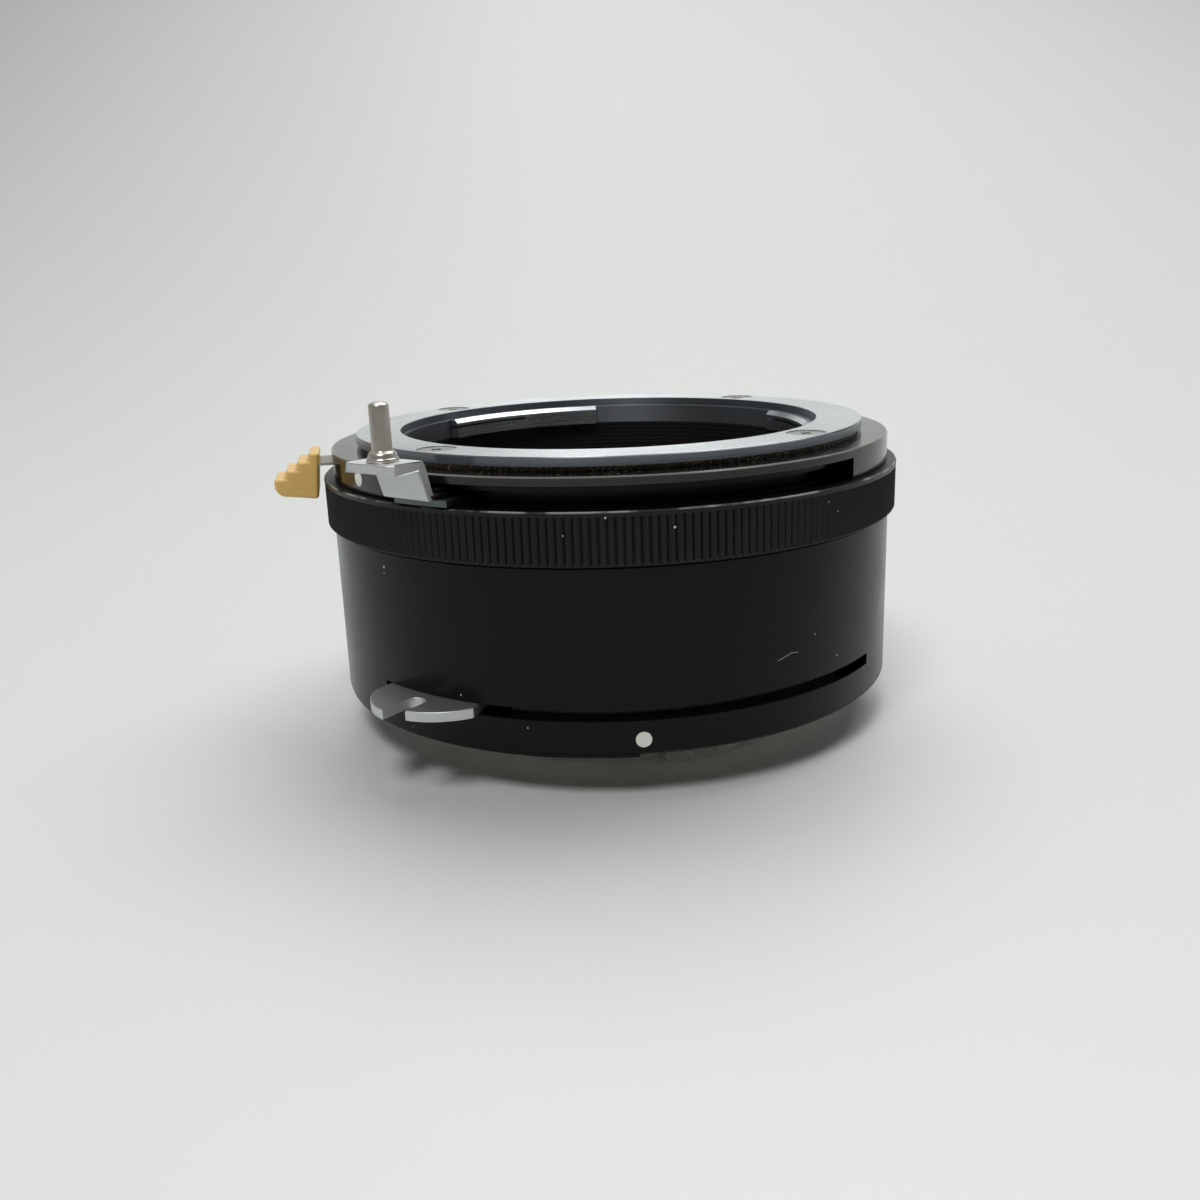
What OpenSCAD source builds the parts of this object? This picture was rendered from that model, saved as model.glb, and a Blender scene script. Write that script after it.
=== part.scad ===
// Extension ring that goes between a camera body and a lens.
// It stands on its rear bayonet, with the lens side up.
// The origin is on the optical axis, in the plane of the rear bayonet's lower end.
// Angles go round +Z from +X, and 270 degrees is the side that faces the viewer.

/* [Mount standard] */
// Distance from the rear seat to the front seat
extension = 27.5; // [24:0.5:40]
// How far the rear bayonet reaches below the rear seat
spigot_drop = 5.5; // [5.3:0.1:7]
// Radius of the opening in the front flange
throat_r = 23.5; // [21:0.5:26]
// Depth of the bayonet lugs along the radius
lug_reach = 1.4; // [1.2:0.05:1.5]
// Play between a bayonet and the mount that it goes into
bayonet_play = 0.15; // [0.1:0.01:0.25]
// Wall of the rear spigot
spigot_wall = 1.65; // [1.6:0.05:1.9]

/* [Front bayonet] */
// Width of the front flange's face
flange_w = 4.9; // [4.8:0.1:5.2]
// Height of the flange's polished side
flange_rim_h = 0.92; // [0.6:0.02:1.1]
// Depth of the plain opening above the lugs
lug_top_depth = 0.85; // [0.6:0.05:1]
// Depth of the lugs' lower faces and of the throat
throat_depth = 3.1; // [2.9:0.05:3.3]
// Width of the step between the opening and the throat wall
throat_step = 0.3; // [0.2:0.02:0.4]
// Bevel on the inner edge of the front lugs
lug_bevel = 0.45; // [0.2:0.05:0.5]
// Angle that each front lug covers
front_lug_deg = 54; // [44:1:56]
// Angle at which the first front lug starts
front_lug_start = 94; // [90:1:98]
// Height of the spring slit in each front lug
slit_h = 0.25; // [0.15:0.01:0.35]
// Depth of the slit below the flange's face
slit_depth = 1.65; // [1.4:0.05:2]
// Angle that the slit covers
slit_deg = 29; // [20:1:36]

/* [Rear bayonet] */
// Width of the rear flange's face
rear_flange_w = 4.9; // [4.8:0.1:5.2]
// Thickness of the rear flange
rear_flange_t = 1.8; // [1.6:0.1:2.2]
// Depth of the rear lugs' upper faces below the rear seat
rear_lug_depth = 3.15; // [3.1:0.05:3.6]
// Angle that each rear lug covers
rear_lug_deg = 53; // [44:1:55]
// Angle at which the first rear lug starts
rear_lug_start = 282; // [278:1:286]
// Width of the lead-in taper round the lower end of the spigot and its lugs
taper_w = 0.35; // [0.1:0.05:0.4]
// Height of that taper
taper_h = 1.4; // [0.5:0.1:1.8]

/* [Barrel] */
// How far the barrel stands out past the front collar
barrel_stand = 0.28; // [0.1:0.02:0.5]
// Width of the seat round the flanges, up to the barrel's bore
bore_margin = 0.9; // [0.8:0.05:1.1]
// Wall of the barrel's neck, under the grip and the collar
neck_wall = 1; // [0.8:0.05:1.2]
// How far the skirt reaches below the rear seat
skirt_drop = 0.7; // [0.3:0.1:1]
// Height of the low ridge on the skirt's edge
ridge_h = 0.22; // [0.1:0.02:0.4]
// Angle at which the ridge starts
ridge_start = 150; // [140:1:180]
// Angle at which the ridge ends
ridge_end = 273.8; // [260:0.2:285]
// Thickness of the web that carries the rear flange
web_t = 0.8; // [0.7:0.05:1]
// Height of the boss on the web, which takes the rear screws
rear_boss_h = 1.7; // [1.4:0.1:1.9]
// Height of the boss that takes the front screws
front_boss_h = 4.25; // [4:0.05:5]
// Thickness of the shoulder that closes the barrel's top
shoulder_t = 0.95; // [0.8:0.05:1.1]
// Bevel on the barrel's edges
barrel_bevel = 0.25; // [0.1:0.05:0.4]

/* [Grip ring] */
// How far the grip stands out past the barrel
grip_stand = 0.75; // [0.6:0.05:0.85]
// Number of teeth
grip_teeth = 252; // [120:4:280]
// Depth of the grooves between the teeth
grip_groove = 0.28; // [0.15:0.01:0.4]
// Distance from the front seat to the lower end of the grip
grip_low_depth = 9.62; // [8:0.1:12]
// Distance from the front seat to the upper end of the grip
grip_top_depth = 4.4; // [4.3:0.05:4.5]
// Height of the smooth band above the teeth
grip_band_h = 0.52; // [0.3:0.02:0.8]
// Height of the smooth band below the teeth
grip_foot_h = 0.2; // [0.1:0.02:0.4]

/* [Front collar] */
// Width of the collar round the flange
collar_w = 2.77; // [2.6:0.01:2.9]
// Depth of the collar's ledge below the front seat
ledge_depth = 1.4; // [1.3:0.05:1.6]
// Thickness of the collar's top
collar_top_t = 0.75; // [0.6:0.05:0.9]
// Height of the lip above the window
lip_h = 0.86; // [0.7:0.02:1]
// Bevel on the rim of the collar
collar_bevel = 0.14; // [0.1:0.02:0.4]
// Angle at which the window starts
window_start = 228.2; // [226:0.1:228.4]
// Angle at which the window ends
window_end = 320.6; // [320.2:0.2:326]

/* [Meter coupling] */
// Angle at which the meter pin stands at rest
coupling_az = 232.6; // [232.3:0.1:233]
// Angle from the meter pin to the middle of the fork
fork_turn = 1.4; // [0:0.1:1.5]
// Angle through which the coupling turns
coupling_travel = 75.5; // [40:0.5:75.5]
// Wall of the coupling sleeve
sleeve_wall = 0.9; // [0.7:0.05:1]
// How far the sleeve's tab reaches past the collar
tab_stand = 1.23; // [0.9:0.05:1.4]
// Thickness of the tab
tab_t = 0.6; // [0.4:0.05:0.8]
// Width of the tab on its short side
tab_left = 1; // [0.9:0.05:1.8]
// Width of the tab on its long side
tab_right = 5.25; // [4.6:0.05:5.6]
// Width of the arm
arm_w = 6.2; // [5.6:0.1:6.4]
// Thickness of the arm's top plate
arm_t = 0.9; // [0.7:0.05:1.2]
// How far the arm's plate reaches past the pin's middle
arm_nose = 1.9; // [1.7:0.1:2.6]
// How far the outer face of the arm's web stands out past the collar
web_stand = 1.78; // [1.6:0.02:1.9]
// Sideways lean of the arm's web
arm_lean = 1.15; // [0.6:0.05:1.5]
// Bevel on the outer corner of the arm
arm_corner = 0.6; // [0.3:0.05:0.9]
// Radius of the meter pin
pin_r = 0.95; // [0.8:0.05:1]
// Height of the meter pin above the arm
pin_h = 5.5; // [4:0.1:6]
// Radius of the pin's collar
pin_collar_r = 1.5; // [1.3:0.05:1.7]
// Height of the pin's collar
pin_collar_h = 1; // [0.6:0.05:1.3]
// How far the pin's middle stands out past the collar
pin_stand = 3.13; // [2.9:0.02:3.3]
// Thickness of the prong
prong_t = 1.05; // [0.8:0.05:1.2]
// Radius of the prong's outline on its long side
prong_r = 7.3; // [7.1:0.1:7.6]
// How far the middle of that outline lies to the ear's side
prong_aside = 0.3; // [0:0.05:0.4]
// Width of the prong on its long side where it leaves the barrel
prong_cut = 5.6; // [5.2:0.1:6]
// Slope of the straight cut that ends the long side
prong_cut_deg = 33; // [15:1:36]
// How far the middle of that outline lies inside the pin's middle
prong_in = 5.5; // [5.4:0.1:5.8]
// Radius of the prong's outline on its ear
ear_r = 6.45; // [6.2:0.05:6.6]
// How far the middle of the ear's outline lies inside the pin's middle
ear_in = 3.7; // [3.5:0.1:3.9]
// Width of the prong on its ear's side
prong_side = 5.95; // [5.6:0.05:6.1]
// Depth of the fork behind the pin
fork_depth = 0.8; // [0.3:0.05:0.9]
// Play between the pin and the prong's fork
fork_play = 0.06; // [0.05:0.01:0.2]
// Height of the prong above the barrel's web
prong_lift = 0.27; // [0.2:0.01:0.4]
// Play above and below the prong in the barrel's slot
slot_play = 0.08; // [0.05:0.01:0.12]
// Angle at which the barrel's slot ends
slot_end = 327.7; // [324:0.1:330]

/* [Aperture coupling] */
// Angle through which the aperture ring turns
aperture_travel = 25; // [15:1:25]
// Height of the ledge that the aperture ring runs on, above the web
ledge_h = 4.9; // [4.5:0.1:6]
// Height of the aperture ring
aperture_ring_h = 3.4; // [3:0.1:4]
// Thickness of the lever arms
lever_t = 0.7; // [0.5:0.05:0.75]
// Width of the lever arms
lever_w = 3.5; // [2.5:0.1:4]
// Angle of the front lever at rest
front_lever_az = 262; // [255:1:270]
// Angle of the rear lever at rest
rear_lever_az = 300; // [296:1:306]
// Gap from the rear lever's tip to the plane of the spigot's end
rear_lever_gap = 1.2; // [0.5:0.1:2]
// Depth of the front lever's tip below the front seat
front_lever_depth = 1.5; // [1:0.1:3]

/* [Lens release] */
// Angle at which the release stands
release_az = 192; // [188:0.5:196]
// Stroke of the release
release_stroke = 1.1; // [0.8:0.05:1.2]
// Width of the leaf and its knob
release_w = 6; // [5:0.1:6.4]
// Thickness of the leaf
leaf_t = 0.28; // [0.2:0.01:0.35]
// Depth of the leaf's top below the front seat
leaf_depth = 2.55; // [2.5:0.01:2.6]
// Length of the knob along the radius
knob_len = 5.05; // [4.5:0.05:6]
// Height of one of the knob's steps
step_rise = 0.85; // [0.7:0.01:0.95]
// Depth of the knob's top below the front seat
knob_top_depth = 1.4; // [1.3:0.05:1.7]
// Height of the knob's inner end
knob_h = 5.1; // [4.8:0.05:5.4]
// Rise of the knob's underside towards its outer end
knob_rise = 0.65; // [0.2:0.05:0.8]
// Slope of the knob's inner face over its height
knob_draft = 0.5; // [0.1:0.05:0.6]
// Radius on the knob's edges
knob_round = 0.35; // [0.2:0.01:0.4]
// Radius of the lock pin
lock_pin_r = 0.75; // [0.6:0.01:0.8]
// Height of the lock pin above the front seat
lock_pin_h = 0.9; // [0.6:0.05:1.1]
// Distance from the flange's edge to the lock pin
lock_pin_in = 2.5; // [2.4:0.02:2.6]

/* [Screws and marks] */
// Distance from the flange's edge to the flange screws
screw_in = 2.3; // [2.28:0.01:2.4]
// Radius of a flange screw's head
screw_head_r = 1.95; // [1.6:0.05:2]
// Radius of a flange screw's shank
screw_r = 1; // [0.8:0.05:1.05]
// Angle of the first front screw
front_screw_az = 229.5; // [227:0.5:232]
// Angle of the first rear screw
rear_screw_az = 4.5; // [0:0.5:10]
// How far the screw heads lie below the flange's face
head_sink = 0.07; // [0.02:0.01:0.1]
// Number of screws in each flange
screw_count = 4; // [3:1:4]
// Radius of the painted dots
dot_r = 0.79; // [0.6:0.01:1]
// Depth of the painted dots
dot_t = 0.25; // [0.15:0.01:0.3]
// Angle of the dot on the collar
front_dot_az = 216.1; // [210:0.1:217]
// Angle of the dot on the barrel
rear_dot_az = 274.5; // [240:0.5:330]

/* [Clearances] */
// Gap round pieces that are seated in each other
seat_gap = 0.05; // [0.02:0.01:0.08]
// Gap round pieces that turn in each other
run_gap = 0.08; // [0.05:0.01:0.1]
// Gap at the ends of pieces that turn
end_gap = 0.1; // [0.05:0.01:0.12]

/* [Hidden] */
$fn = 96;

// A cut reaches this far past the surface that it opens
over = 0.5;
third = 120;
flange_edge = 0.12;
lug_root = 0.1;

// Heights from the plane that the ring stands on
rear_seat_z = spigot_drop;
front_seat_z = rear_seat_z + extension;
web_z = rear_seat_z + rear_flange_t;
web_top_z = web_z + web_t;
skirt_z = rear_seat_z - skirt_drop;
ledge_z = front_seat_z - ledge_depth;
barrel_top_z = ledge_z - collar_top_t;
shoulder_z = barrel_top_z - shoulder_t;
front_boss_z = barrel_top_z - front_boss_h;
grip_low_z = front_seat_z - grip_low_depth;
grip_top_z = front_seat_z - grip_top_depth;
window_top_z = ledge_z - lip_h;
throat_z = front_seat_z - throat_depth;
lug_top_z = front_seat_z - lug_top_depth;

// Radii from the axis outwards
rear_lug_r = throat_r - bayonet_play;
spigot_r = rear_lug_r - lug_reach;
bore_r = spigot_r - spigot_wall;
front_lug_r = spigot_r + bayonet_play;
flange_r = throat_r + flange_w;
rear_flange_r = throat_r + rear_flange_w;
throat_wall_r = throat_r - throat_step;
tube_wall = 0.9;
boss_gap = 0.42;
boss_margin = 0.25;
web_margin = 0.2;
tube_r = throat_wall_r + tube_wall;
shoulder_bore_r = tube_r + seat_gap;
collar_lap = 0.4;
collar_bore_r = flange_r - collar_lap;
flange_foot_r = collar_bore_r - seat_gap;
collar_r = flange_r + collar_w;
barrel_r = collar_r + barrel_stand;
grip_r = barrel_r + grip_stand;
barrel_bore_r = flange_r + bore_margin;
neck_r = barrel_bore_r + neck_wall;
sleeve_r = barrel_bore_r - run_gap;
sleeve_inner_r = sleeve_r - sleeve_wall;
front_boss_r = sleeve_inner_r - boss_gap;
screw_reach = flange_r - screw_in;
lock_pin_reach = flange_r - lock_pin_in;
rear_boss_r = screw_reach + screw_r + boss_margin;
web_bore_r = front_lug_r + web_margin;

// Meter coupling
sleeve_z = web_top_z + end_gap;
sleeve_top_z = grip_top_z;
tab_lift = 0.15;
tab_z = grip_top_z + tab_lift;
tab_top_z = tab_z + tab_t;
tab_r = collar_r + tab_stand;
web_face = collar_r + web_stand;
pin_reach = collar_r + pin_stand;
arm_reach = pin_reach + arm_nose;
arm_back = web_face - arm_t;
prong_reach = pin_reach - prong_in;
ear_reach = pin_reach - ear_in;
prong_root = sleeve_inner_r - 2 * over;
prong_z = web_top_z + prong_lift;
fork_w = 2 * (pin_r + fork_play);
fork_floor = pin_reach - pin_r - fork_depth;
prong_az = coupling_az + fork_turn;
slot_margin = 1;
slot_start = prong_az - asin(prong_side / barrel_bore_r) - slot_margin;
foot_t = 0.5;
foot_margin = 0.15;
foot_back = barrel_bore_r + foot_margin;
arm_screw_in = 0.9;
arm_screw_reach = foot_back + arm_screw_in;
arm_screw_shift = 0.1;
arm_screw_pitch = 0.4 * arm_w;
arm_screw_mid = arm_lean + arm_screw_shift;
arm_screw_r = 0.45;
arm_screw_head_r = 0.72;
arm_screw_head_t = 0.4;
prong_tab_t = 0.75;
prong_tab_h = 4;
prong_tab_w = 8;
prong_screw_drop = 1.3;
prong_screw_r = 0.4;
prong_screw_head_r = 0.7;
prong_screw_head_t = 0.3;
retainer_h = shoulder_z - sleeve_top_z - end_gap;
retainer_margin = 8;
retainer_deg = 214;

// Aperture coupling
aperture_outer_r = throat_wall_r - run_gap;
aperture_inner_r = front_lug_r + 0.1;
aperture_z = web_top_z + ledge_h + end_gap;
aperture_top_z = aperture_z + aperture_ring_h;
lever_inner_r = bore_r + 0.12;
lever_outer_r = lever_inner_r + lever_t;
pad_r = aperture_inner_r - seat_gap;
pad_h = aperture_ring_h - 0.6;
pad_z = aperture_z + 0.3;
rivet_r = 0.4;
rivet_pitch = 2;
channel_r = lever_outer_r + 0.2;
channel_margin = 2;
lever_half_deg = asin(lever_w / 2 / lever_inner_r);
post_z = aperture_z + aperture_ring_h / 2;
post_r = 0.5;
post_stand = 2.3;
post_reach = tube_r + post_stand;
moving_post_az = 172;
fixed_post_az = 150;
aperture_retainer_h = 1;
tube_slot_h = 1.3;
tube_slot_margin = 3;
post_end = 0.4;
spring_mid_r = post_reach - post_end;
spring_coil_r = 1;
spring_wire_r = 0.15;
spring_pitch = 0.62;
spring_gap = 0.25;

// Lens release
knob_stand = 0.15;
leaf_top_z = front_seat_z - leaf_depth;
leaf_z = leaf_top_z - leaf_t;
knob_reach = grip_r + knob_stand;
step_count = 4;
leaf_grip = knob_len / step_count - 0.2;
knob_top_z = front_seat_z - knob_top_depth;
leaf_inner = lock_pin_reach - lock_pin_r - 0.2;
pocket_z = leaf_z - release_stroke - 0.17;
pocket_w = release_w + 0.6;
lock_spring_hole_r = 1.25;
lock_spring_depth = 1.9;
lock_spring_coil_r = 0.95;
lock_spring_wire_r = 0.13;
lock_spring_z = pocket_z - lock_spring_depth;
lock_tail_r = 0.45;
lock_tail_len = 1.7;

// Screws and marks
screw_head_h = screw_head_r - screw_r;
head_rim = 0.1;
front_screw_len = 4.6;
rear_screw_len = 4;
rear_dot_lift = 1.6;
recess_len = 1.3;
recess_w = 0.35;
recess_depth = 0.6;
lock_hole_az = 12;
lock_hole_depth = 1.2;

// A ring with a square section, between two radii and two heights
module band(inner, outer, low, high) {
    rotate_extrude()
        translate([inner, low])
            square([outer - inner, high - low]);
}

// A part of such a ring, between two angles
module sector(inner, outer, low, high, start, angle) {
    rotate([0, 0, start])
        rotate_extrude(angle = angle)
            translate([inner, low])
                square([outer - inner, high - low]);
}

// A round hole or pin that lies along a radius
module radial_pin(r, from, to, az, height, aside = 0) {
    rotate([0, 0, az])
        translate([from, aside, height])
            rotate([0, 90, 0])
                cylinder(r = r, h = to - from, $fn = 32);
}

// Places a piece at the same radius, several times round the axis
module round_places(reach, start, count) {
    for (i = [0 : count - 1])
        rotate([0, 0, start + i * 360 / count])
            translate([reach, 0, 0])
                children();
}

// The outline of a countersunk screw, whose head ends at height top
module screw_body(length, top, gap = 0) {
    rotate_extrude($fn = 48)
        polygon([
            [0, -length],
            [screw_r + gap, -length],
            [screw_r + gap, -head_sink - head_rim - screw_head_h],
            [screw_head_r + gap, -head_sink - head_rim],
            [screw_head_r + gap, top],
            [0, top]
        ]);
}

module cross_recess() {
    for (turn = [0, 90])
        rotate([0, 0, turn])
            translate([-recess_len / 2, -recess_w / 2, -recess_depth])
                cube([recess_len, recess_w, recess_depth + over]);
}

module countersunk_screw(length) {
    difference() {
        screw_body(length, -head_sink);
        cross_recess();
    }
}

// A coil of round wire that stands on height 0
function coil_point(r, rise, turns, t, side, sides, wire) =
    let (a = 360 * turns * t,
         b = 360 * side / sides,
         reach = r + wire * cos(b))
    [reach * cos(a), reach * sin(a), wire + (rise - 2 * wire) * t + wire * sin(b)];

module coil(r, wire, rise, turns, steps = 12, sides = 6) {
    count = turns * steps;
    points = [
        for (i = [0 : count])
            for (s = [0 : sides - 1])
                coil_point(r, rise, turns, i / count, s, sides, wire)
    ];
    skin = [
        for (i = [0 : count - 1])
            for (s = [0 : sides - 1])
                let (n = (s + 1) % sides)
                [i * sides + s, i * sides + n, (i + 1) * sides + n, (i + 1) * sides + s]
    ];
    start = [[for (s = [sides - 1 : -1 : 0]) s]];
    end = [[for (s = [0 : sides - 1]) count * sides + s]];
    polyhedron(points, concat(skin, start, end), convexity = 8);
}

// Housing

// The barrel: skirt, web, wall, neck and shoulder are one turned piece
module main_barrel() {
    color("#1d1d1f")
        difference() {
            union() {
                rotate_extrude()
                    polygon([
                        [barrel_bore_r, skirt_z],
                        [barrel_r - barrel_bevel, skirt_z],
                        [barrel_r, skirt_z + barrel_bevel],
                        [barrel_r, grip_low_z - barrel_bevel],
                        [barrel_r - barrel_bevel, grip_low_z],
                        [neck_r, grip_low_z],
                        [neck_r, barrel_top_z],
                        [shoulder_bore_r, barrel_top_z],
                        [shoulder_bore_r, front_boss_z],
                        [front_boss_r, front_boss_z],
                        [front_boss_r, shoulder_z],
                        [barrel_bore_r, shoulder_z],
                        [barrel_bore_r, web_top_z],
                        [rear_boss_r, web_top_z],
                        [rear_boss_r, web_top_z + rear_boss_h],
                        [tube_r + seat_gap, web_top_z + rear_boss_h],
                        [tube_r + seat_gap, web_top_z],
                        [web_bore_r, web_top_z],
                        [web_bore_r, web_z],
                        [barrel_bore_r, web_z]
                    ]);
                sector(barrel_bore_r + 0.1, barrel_r - barrel_bevel / 2, skirt_z - ridge_h,
                       skirt_z + ridge_h, ridge_start, ridge_end - ridge_start);
            }
            prong_slot();
            sector(barrel_bore_r - over, neck_r + over, grip_top_z, shoulder_z,
                   window_start, window_end - window_start);
            sector(barrel_bore_r, neck_r + over, shoulder_z - over, barrel_top_z + over,
                   window_start, window_end - window_start);
            release_pocket(leaf_inner - 0.2, neck_r + over, pocket_z, barrel_top_z + over);
            rotate([0, 0, release_az])
                translate([lock_pin_reach, 0, lock_spring_z])
                    cylinder(r = lock_spring_hole_r, h = lock_spring_depth + over, $fn = 48);
            translate([0, 0, front_seat_z])
                round_places(screw_reach, front_screw_az, screw_count)
                    screw_body(front_screw_len + seat_gap, over, seat_gap);
            translate([0, 0, rear_seat_z])
                round_places(screw_reach, rear_screw_az, screw_count)
                    mirror([0, 0, 1])
                        screw_body(rear_screw_len + seat_gap, over, seat_gap);
            radial_pin(dot_r, barrel_r - dot_t, barrel_r + over, rear_dot_az, rear_dot_z());
        }
}

// The slot that the prong slides along
module prong_slot() {
    sector(barrel_bore_r - 0.05, barrel_r + over, prong_z - slot_play,
           prong_z + prong_t + slot_play, slot_start, slot_end - slot_start);
}

// The space in which the release's leaf moves up and down
module release_pocket(from, to, low, high) {
    rotate([0, 0, release_az])
        translate([from, -pocket_w / 2, low])
            cube([to - from, pocket_w, high - low]);
}

function rear_dot_z() = skirt_z + rear_dot_lift;
function front_dot_z() = (grip_top_z + ledge_z) / 2 - 0.05;

// The grip: a ring with straight teeth between two smooth bands
module grip_ring() {
    crown_r = grip_r - 0.03;
    root_r = crown_r - grip_groove;
    teeth_low = grip_low_z + grip_foot_h;
    teeth_top = grip_top_z - grip_band_h;
    crown = [
        for (i = [0 : 2 * grip_teeth - 1])
            let (a = 180 * i / grip_teeth,
                 r = i % 2 == 0 ? crown_r : root_r)
            [r * cos(a), r * sin(a)]
    ];
    color("#242427")
        difference() {
            union() {
                translate([0, 0, teeth_low])
                    linear_extrude(teeth_top - teeth_low)
                        polygon(crown);
                band(neck_r, root_r - 0.05, grip_low_z, teeth_low + grip_foot_h);
                rotate_extrude()
                    polygon([
                        [neck_r, teeth_top],
                        [grip_r, teeth_top],
                        [grip_r, grip_top_z - collar_bevel],
                        [grip_r - collar_bevel, grip_top_z],
                        [neck_r, grip_top_z]
                    ]);
            }
            translate([0, 0, grip_low_z - over])
                cylinder(r = neck_r + seat_gap, h = grip_top_z - grip_low_z + 2 * over);
        }
}

// The collar that covers the barrel's neck, with the window for the meter arm
module front_collar() {
    color("#0c0c0e")
        difference() {
            rotate_extrude()
                polygon([
                    [collar_bore_r, barrel_top_z],
                    [neck_r + seat_gap, barrel_top_z],
                    [neck_r + seat_gap, grip_top_z + end_gap],
                    [collar_r, grip_top_z + end_gap],
                    [collar_r, ledge_z - collar_bevel],
                    [collar_r - collar_bevel, ledge_z],
                    [collar_bore_r, ledge_z]
                ]);
            sector(neck_r - over, collar_r + over, grip_top_z - over, window_top_z,
                   window_start, window_end - window_start);
            release_pocket(neck_r - 0.2, collar_r + over, grip_top_z - over, window_top_z);
            radial_pin(dot_r, collar_r - dot_t, collar_r + over, front_dot_az, front_dot_z());
        }
}

module front_index_dot() {
    color("white")
        radial_pin(dot_r - 0.01, collar_r - dot_t, collar_r + 0.02, front_dot_az, front_dot_z());
}

module rear_index_dot() {
    color("white")
        radial_pin(dot_r - 0.01, barrel_r - dot_t, barrel_r + 0.02, rear_dot_az, rear_dot_z());
}

// Bayonets

// The front bayonet: flange, foot, throat wall and three slit lugs
module front_bayonet() {
    color("#c9cbcd")
        difference() {
            union() {
                rotate_extrude()
                    polygon([
                        [throat_r, front_seat_z],
                        [throat_r, lug_top_z],
                        [throat_wall_r, lug_top_z - flange_edge],
                        [throat_wall_r, throat_z],
                        [tube_r, throat_z],
                        [tube_r, barrel_top_z],
                        [flange_foot_r, barrel_top_z],
                        [flange_foot_r, front_seat_z - flange_rim_h],
                        [flange_r, front_seat_z - flange_rim_h],
                        [flange_r, front_seat_z - flange_edge],
                        [flange_r - flange_edge, front_seat_z]
                    ]);
                for (i = [0 : 2])
                    rotate([0, 0, front_lug_start + i * third])
                        rotate_extrude(angle = front_lug_deg)
                            polygon([
                                [front_lug_r, throat_z],
                                [throat_wall_r + lug_root, throat_z],
                                [throat_wall_r + lug_root, lug_top_z],
                                [front_lug_r + lug_bevel, lug_top_z],
                                [front_lug_r, lug_top_z - lug_bevel]
                            ]);
            }
            for (i = [0 : 2])
                sector(front_lug_r - over, throat_r, front_seat_z - slit_depth - slit_h,
                       front_seat_z - slit_depth,
                       front_lug_start + front_lug_deg - slit_deg + i * third, slit_deg + 0.5);
            translate([0, 0, front_seat_z])
                round_places(screw_reach, front_screw_az, screw_count)
                    screw_body(front_screw_len + over, over, seat_gap);
            rotate([0, 0, release_az])
                translate([lock_pin_reach, 0, barrel_top_z - over])
                    cylinder(r = lock_pin_r + 0.1, h = front_seat_z - barrel_top_z + 2 * over,
                             $fn = 48);
        }
}

module front_mount_screws() {
    color("#aeb0b2")
        translate([0, 0, front_seat_z])
            round_places(screw_reach, front_screw_az, screw_count)
                countersunk_screw(front_screw_len);
}

// The rear bayonet: flange, spigot and three lugs, with a channel for the rear lever
module rear_bayonet() {
    color("#c9cbcd")
        difference() {
            union() {
                rotate_extrude()
                    polygon([
                        [bore_r, 0],
                        [spigot_r - taper_w, 0],
                        [spigot_r, taper_h],
                        [spigot_r, rear_seat_z],
                        [rear_flange_r - flange_edge, rear_seat_z],
                        [rear_flange_r, rear_seat_z + flange_edge],
                        [rear_flange_r, web_z],
                        [bore_r, web_z]
                    ]);
                for (i = [0 : 2])
                    rotate([0, 0, rear_lug_start + i * third])
                        rotate_extrude(angle = rear_lug_deg)
                            polygon([
                                [spigot_r - taper_w - lug_root, 0],
                                [rear_lug_r - taper_w, 0],
                                [rear_lug_r, taper_h],
                                [rear_lug_r, rear_seat_z - rear_lug_depth],
                                [spigot_r - taper_w - lug_root, rear_seat_z - rear_lug_depth]
                            ]);
            }
            sector(bore_r - over, channel_r, -over, web_z + over,
                   rear_lever_az - lever_half_deg - channel_margin,
                   aperture_travel + 2 * (lever_half_deg + channel_margin));
            translate([0, 0, rear_seat_z])
                round_places(screw_reach, rear_screw_az, screw_count)
                    mirror([0, 0, 1])
                        screw_body(rear_screw_len + over, over, seat_gap);
            rotate([0, 0, lock_hole_az])
                translate([lock_pin_reach, 0, rear_seat_z - over])
                    cylinder(r = lock_pin_r + 0.25, h = lock_hole_depth + over, $fn = 48);
        }
}

module rear_mount_screws() {
    color("#aeb0b2")
        translate([0, 0, rear_seat_z])
            round_places(screw_reach, rear_screw_az, screw_count)
                mirror([0, 0, 1])
                    countersunk_screw(rear_screw_len);
}

// Inner pieces that stay still

// The blackened tube round the light path, with the aperture ring's ledge
module baffle_tube() {
    color("#141414")
        difference() {
            rotate_extrude()
                polygon([
                    [aperture_inner_r, web_top_z],
                    [tube_r, web_top_z],
                    [tube_r, throat_z],
                    [throat_wall_r, throat_z],
                    [throat_wall_r, web_top_z + ledge_h],
                    [aperture_inner_r, web_top_z + ledge_h]
                ]);
            sector(throat_wall_r - over, tube_r + over, post_z - tube_slot_h / 2,
                   post_z + tube_slot_h / 2, moving_post_az - tube_slot_margin,
                   aperture_travel + 2 * tube_slot_margin);
            radial_pin(post_r + seat_gap, throat_wall_r - over, tube_r + over,
                       fixed_post_az, post_z);
        }
}

// An open ring that keeps the coupling sleeve down, clear of the window and the release
module coupling_retainer() {
    color("#6d6f72")
        sector(sleeve_inner_r + 0.05, barrel_bore_r - seat_gap, shoulder_z - retainer_h,
               shoulder_z, window_end + retainer_margin - 360, retainer_deg);
}

module aperture_retainer() {
    color("#2a2a2a")
        band(aperture_inner_r, throat_wall_r - seat_gap, aperture_top_z + end_gap,
             aperture_top_z + end_gap + aperture_retainer_h);
}

module fixed_spring_post() {
    color("#b9bbbd")
        radial_pin(post_r, throat_wall_r + 0.02, post_reach + 0.7, fixed_post_az, post_z);
}

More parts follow.
